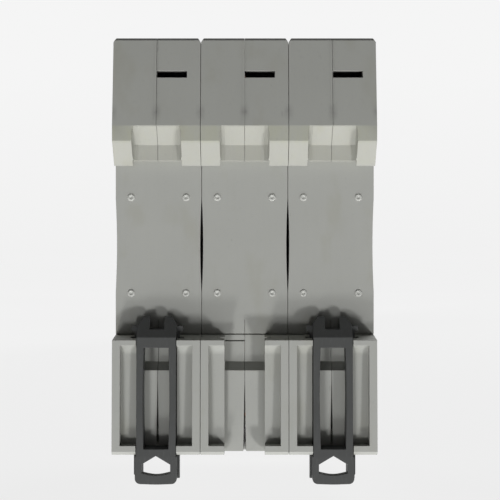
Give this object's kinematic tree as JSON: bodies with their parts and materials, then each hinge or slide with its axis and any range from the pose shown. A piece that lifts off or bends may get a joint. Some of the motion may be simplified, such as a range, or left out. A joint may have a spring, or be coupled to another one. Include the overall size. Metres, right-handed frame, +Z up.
{
  "type": "miniature circuit breaker",
  "caption": "Modular rail-mounted circuit breaker with joined toggles, box terminals at both ends and sliding rail clips on its back.",
  "frame": {"origin": "middle of the rail seat: the middle pole's seam on the floor of the rail recess, halfway up the 35 mm rail", "axes": "+Z up, +Y out of the back towards the rail, -Y towards the toggles, +X across the poles"},
  "size_m": [0.0538, 0.0679, 0.0911],
  "materials": {
    "case": "satin",
    "clip": "satin",
    "toggle": "satin",
    "dark_plastic": "matte",
    "copper": "satin",
    "steel": "satin",
    "zinc": "satin",
    "fibre": "matte"
  },
  "bodies": {
    "case": {"case_left_1": "case", "case_right_1": "case", "coil_1": "copper", "bimetal_1": "steel", "fixed_contact_1": "copper", "arc_plates_1": "steel", "arc_chute_frame_1": "fibre", "case_left_2": "case", "case_right_2": "case", "coil_2": "copper", "bimetal_2": "steel", "fixed_contact_2": "copper", "arc_plates_2": "steel", "arc_chute_frame_2": "fibre", "case_left_3": "case", "case_right_3": "case", "coil_3": "copper", "bimetal_3": "steel", "fixed_contact_3": "copper", "arc_plates_3": "steel", "arc_chute_frame_3": "fibre", "coil_yokes": "steel", "upper_terminal_plates": "copper", "lower_terminal_plates": "copper", "toggle_springs": "steel", "contact_springs": "steel", "braids": "copper"},
    "toggles": {"toggle_1": "toggle", "toggle_2": "toggle", "toggle_3": "toggle", "toggle_tie_bar": "toggle"},
    "arm_1": {"contact_arm_1": "copper"},
    "link_1": {"link_1": "steel"},
    "plunger_1": {"plunger_1": "steel"},
    "trip_lever_1": {"trip_lever_1": "dark_plastic"},
    "terminal_screw_top_1": {"terminal_screw_top_1": "zinc"},
    "terminal_cage_top_1": {"terminal_cage_top_1": "zinc"},
    "terminal_screw_bottom_1": {"terminal_screw_bottom_1": "zinc"},
    "terminal_cage_bottom_1": {"terminal_cage_bottom_1": "zinc"},
    "arm_2": {"contact_arm_2": "copper"},
    "link_2": {"link_2": "steel"},
    "plunger_2": {"plunger_2": "steel"},
    "trip_lever_2": {"trip_lever_2": "dark_plastic"},
    "terminal_screw_top_2": {"terminal_screw_top_2": "zinc"},
    "terminal_cage_top_2": {"terminal_cage_top_2": "zinc"},
    "terminal_screw_bottom_2": {"terminal_screw_bottom_2": "zinc"},
    "terminal_cage_bottom_2": {"terminal_cage_bottom_2": "zinc"},
    "arm_3": {"contact_arm_3": "copper"},
    "link_3": {"link_3": "steel"},
    "plunger_3": {"plunger_3": "steel"},
    "trip_lever_3": {"trip_lever_3": "dark_plastic"},
    "terminal_screw_top_3": {"terminal_screw_top_3": "zinc"},
    "terminal_cage_top_3": {"terminal_cage_top_3": "zinc"},
    "terminal_screw_bottom_3": {"terminal_screw_bottom_3": "zinc"},
    "terminal_cage_bottom_3": {"terminal_cage_bottom_3": "zinc"},
    "rail_clip_1": {"rail_clip_1": "clip"},
    "rail_clip_3": {"rail_clip_3": "clip"}
  },
  "joints": [
    {"name": "toggle_turn", "type": "hinge", "parent": "case", "child": "toggles", "pos_m": [0, -0.0405, 0], "axis": [-1, 0, 0], "range_deg": [0, 76], "deforming": ["toggle_springs"]},
    {"name": "arm_swing_1", "type": "hinge", "parent": "case", "child": "arm_1", "pos_m": [-0.018, -0.0265, -0.008], "axis": [-1, 0, 0], "range_deg": [0, 18.6], "deforming": ["contact_springs", "braids"]},
    {"name": "link_turn_1", "type": "hinge", "parent": "toggles", "child": "link_1", "pos_m": [-0.018, -0.04014, 0.00348], "axis": [1, 0, 0], "range_deg": [0, 94.98]},
    {"name": "plunger_slide_1", "type": "slide", "parent": "case", "child": "plunger_1", "axis": [0, -1, 0], "range_m": [0, 0.0025], "stiffness_N_per_m": 60, "springref_m": -0.002},
    {"name": "trip_lever_turn_1", "type": "hinge", "parent": "case", "child": "trip_lever_1", "pos_m": [-0.018, -0.0265, -0.008], "axis": [1, 0, 0], "range_deg": [0, 5]},
    {"name": "screw_turn_top_1", "type": "hinge", "parent": "case", "child": "terminal_screw_top_1", "pos_m": [-0.018, -0.036, 0.0338], "axis": [0, 1, 0], "range_deg": [0, 2025]},
    {"name": "cage_slide_top_1", "type": "slide", "parent": "case", "child": "terminal_cage_top_1", "axis": [0, -1, 0], "range_m": [0, 0.0045]},
    {"name": "screw_turn_bottom_1", "type": "hinge", "parent": "case", "child": "terminal_screw_bottom_1", "pos_m": [-0.018, -0.036, -0.0338], "axis": [0, 1, 0], "range_deg": [0, 2025]},
    {"name": "cage_slide_bottom_1", "type": "slide", "parent": "case", "child": "terminal_cage_bottom_1", "axis": [0, -1, 0], "range_m": [0, 0.0045]},
    {"name": "arm_swing_2", "type": "hinge", "parent": "case", "child": "arm_2", "pos_m": [0, -0.0265, -0.008], "axis": [-1, 0, 0], "range_deg": [0, 18.6]},
    {"name": "link_turn_2", "type": "hinge", "parent": "toggles", "child": "link_2", "pos_m": [0, -0.04014, 0.00348], "axis": [1, 0, 0], "range_deg": [0, 94.98]},
    {"name": "plunger_slide_2", "type": "slide", "parent": "case", "child": "plunger_2", "axis": [0, -1, 0], "range_m": [0, 0.0025], "stiffness_N_per_m": 60, "springref_m": -0.002},
    {"name": "trip_lever_turn_2", "type": "hinge", "parent": "case", "child": "trip_lever_2", "pos_m": [0, -0.0265, -0.008], "axis": [1, 0, 0], "range_deg": [0, 5]},
    {"name": "screw_turn_top_2", "type": "hinge", "parent": "case", "child": "terminal_screw_top_2", "pos_m": [0, -0.036, 0.0338], "axis": [0, 1, 0], "range_deg": [0, 2025]},
    {"name": "cage_slide_top_2", "type": "slide", "parent": "case", "child": "terminal_cage_top_2", "axis": [0, -1, 0], "range_m": [0, 0.0045]},
    {"name": "screw_turn_bottom_2", "type": "hinge", "parent": "case", "child": "terminal_screw_bottom_2", "pos_m": [0, -0.036, -0.0338], "axis": [0, 1, 0], "range_deg": [0, 2025]},
    {"name": "cage_slide_bottom_2", "type": "slide", "parent": "case", "child": "terminal_cage_bottom_2", "axis": [0, -1, 0], "range_m": [0, 0.0045]},
    {"name": "arm_swing_3", "type": "hinge", "parent": "case", "child": "arm_3", "pos_m": [0.018, -0.0265, -0.008], "axis": [-1, 0, 0], "range_deg": [0, 18.6]},
    {"name": "link_turn_3", "type": "hinge", "parent": "toggles", "child": "link_3", "pos_m": [0.018, -0.04014, 0.00348], "axis": [1, 0, 0], "range_deg": [0, 94.98]},
    {"name": "plunger_slide_3", "type": "slide", "parent": "case", "child": "plunger_3", "axis": [0, -1, 0], "range_m": [0, 0.0025], "stiffness_N_per_m": 60, "springref_m": -0.002},
    {"name": "trip_lever_turn_3", "type": "hinge", "parent": "case", "child": "trip_lever_3", "pos_m": [0.018, -0.0265, -0.008], "axis": [1, 0, 0], "range_deg": [0, 5]},
    {"name": "screw_turn_top_3", "type": "hinge", "parent": "case", "child": "terminal_screw_top_3", "pos_m": [0.018, -0.036, 0.0338], "axis": [0, 1, 0], "range_deg": [0, 2025]},
    {"name": "cage_slide_top_3", "type": "slide", "parent": "case", "child": "terminal_cage_top_3", "axis": [0, -1, 0], "range_m": [0, 0.0045]},
    {"name": "screw_turn_bottom_3", "type": "hinge", "parent": "case", "child": "terminal_screw_bottom_3", "pos_m": [0.018, -0.036, -0.0338], "axis": [0, 1, 0], "range_deg": [0, 2025]},
    {"name": "cage_slide_bottom_3", "type": "slide", "parent": "case", "child": "terminal_cage_bottom_3", "axis": [0, -1, 0], "range_m": [0, 0.0045]},
    {"name": "rail_clip_slide_1", "type": "slide", "parent": "case", "child": "rail_clip_1", "axis": [0, 0, -1], "range_m": [0, 0.004]},
    {"name": "rail_clip_slide_3", "type": "slide", "parent": "case", "child": "rail_clip_3", "axis": [0, 0, -1], "range_m": [0, 0.004]}
  ],
  "couplings": [
    {"joint": "arm_swing_1", "follows": "toggle_turn", "ratio": 0.24473},
    {"joint": "link_turn_1", "follows": "toggle_turn", "ratio": 1.2497},
    {"joint": "trip_lever_turn_1", "follows": "plunger_slide_1", "rad_per_m": 34.907},
    {"joint": "screw_turn_top_1", "follows": "cage_slide_top_1", "rad_per_m": 7853.9},
    {"joint": "screw_turn_bottom_1", "follows": "cage_slide_bottom_1", "rad_per_m": 7853.9},
    {"joint": "arm_swing_2", "follows": "toggle_turn", "ratio": 0.24473},
    {"joint": "link_turn_2", "follows": "toggle_turn", "ratio": 1.2497},
    {"joint": "trip_lever_turn_2", "follows": "plunger_slide_2", "rad_per_m": 34.907},
    {"joint": "screw_turn_top_2", "follows": "cage_slide_top_2", "rad_per_m": 7853.9},
    {"joint": "screw_turn_bottom_2", "follows": "cage_slide_bottom_2", "rad_per_m": 7853.9},
    {"joint": "arm_swing_3", "follows": "toggle_turn", "ratio": 0.24473},
    {"joint": "link_turn_3", "follows": "toggle_turn", "ratio": 1.2497},
    {"joint": "trip_lever_turn_3", "follows": "plunger_slide_3", "rad_per_m": 34.907},
    {"joint": "screw_turn_top_3", "follows": "cage_slide_top_3", "rad_per_m": 7853.9},
    {"joint": "screw_turn_bottom_3", "follows": "cage_slide_bottom_3", "rad_per_m": 7853.9}
  ]
}
